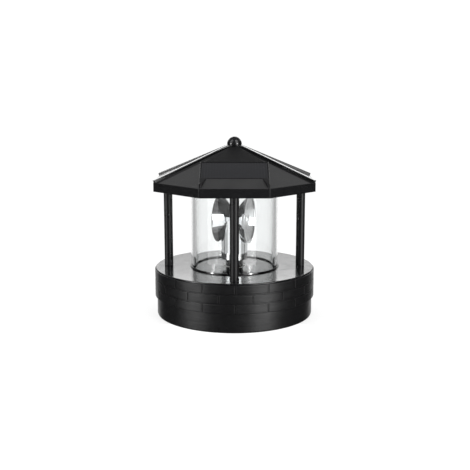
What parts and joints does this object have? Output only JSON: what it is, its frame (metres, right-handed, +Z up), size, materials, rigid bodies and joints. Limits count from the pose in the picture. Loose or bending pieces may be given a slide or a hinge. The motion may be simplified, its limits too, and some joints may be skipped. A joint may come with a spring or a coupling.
{
  "type": "garden lighthouse lantern head",
  "caption": "Free-standing solar lighthouse lantern: brick-patterned round base, posts, octagonal roof with ball finial, clear cylinder round a turning two-sided beacon.",
  "frame": {"origin": "centre of the base's bottom rim, on the surface that it stands on and on the beacon's spin axis", "axes": "+Z up along the spin axis and the finial; -Y is the front, where a flat roof side, the front solar panel and the front post face; +X is to the right seen from the front"},
  "size_m": [0.12, 0.12, 0.1332],
  "materials": {
    "wall_black": "satin moulded black, brick relief",
    "deck_black": "glossy moulded black",
    "roof_black": "glossy moulded black",
    "post_black": "glossy moulded black",
    "clear_plastic": "clear moulded plastic",
    "mirror_plating": "bright plated plastic",
    "panel_dark": "dark solar laminate",
    "screw_steel": "plated steel",
    "can_steel": "drawn steel can",
    "inner_plastic": "moulded inner plastic",
    "gear_plastic": "white bearing plastic",
    "contact_metal": "plated contact strip",
    "board_green": "solder resist",
    "component_dark": "moulded components",
    "cell_sleeve": "plain shrink sleeve",
    "soft_rubber": "soft black rubber",
    "lead_sleeve": "insulated lead",
    "lamp_clear": "clear epoxy lamp",
    "knob_grey": "dark moulded knob"
  },
  "bodies": {
    "root": {"base_wall": "wall_black", "deck_plate": "deck_black", "bottom_cover": "wall_black", "cover_screws": "screw_steel", "battery_box": "inner_plastic", "battery_cell": "cell_sleeve", "battery_contact_plate": "contact_metal", "battery_contact_spring": "contact_metal", "circuit_board": "board_green", "board_components": "component_dark", "switch_body": "component_dark", "drive_plate": "inner_plastic", "drive_plate_screws": "screw_steel", "motor_can": "can_steel", "idler_axle": "screw_steel", "spindle_bush": "gear_plastic", "lamp_post": "inner_plastic", "lamp": "lamp_clear", "clear_cylinder": "clear_plastic", "cylinder_gasket": "soft_rubber", "post_rear": "post_black", "post_left": "post_black", "post_front": "post_black", "post_right": "post_black", "post_foot_screws": "screw_steel", "post_head_screws": "screw_steel", "panel_leads": "lead_sleeve", "roof_shell": "roof_black", "roof_ceiling": "deck_black", "roof_screws": "screw_steel", "solar_panel_front": "panel_dark", "solar_panel_rear": "panel_dark", "finial_ball": "roof_black", "finial_screw": "screw_steel"},
    "beacon": {"spindle_gear": "gear_plastic", "spindle_hub": "deck_black", "reflector_front_half": "mirror_plating", "reflector_rear_half": "mirror_plating", "reflector_lens_right": "clear_plastic", "reflector_lens_left": "clear_plastic"},
    "idler": {"idler_gear": "gear_plastic"},
    "motor_rotor": {"motor_shaft": "screw_steel", "motor_pinion": "gear_plastic"},
    "power_knob": {"switch_knob": "knob_grey"},
    "door": {"battery_door": "wall_black"}
  },
  "joints": [
    {"name": "beacon_spin", "type": "hinge", "parent": "root", "child": "beacon", "pos_m": [0, 0, 0.0718], "axis": [0, 0, 1], "continuous": true},
    {"name": "idler_spin", "type": "hinge", "parent": "root", "child": "idler", "pos_m": [-0.01559, 0.009, 0.0238], "axis": [0, 0, 1], "continuous": true},
    {"name": "motor_spin", "type": "hinge", "parent": "root", "child": "motor_rotor", "pos_m": [-0.02912, 0.00407, 0.0208], "axis": [0, 0, 1], "continuous": true},
    {"name": "power_switch", "type": "slide", "parent": "root", "child": "power_knob", "axis": [1, 0, 0], "range_m": [0, 0.004]},
    {"name": "battery_door_hinge", "type": "hinge", "parent": "root", "child": "door", "pos_m": [0, -0.0233, 0.0036], "axis": [1, 0, 0], "range_deg": [0, 80]}
  ],
  "couplings": [
    {"joint": "idler_spin", "follows": "beacon_spin", "ratio": -4},
    {"joint": "motor_spin", "follows": "beacon_spin", "ratio": 12}
  ]
}
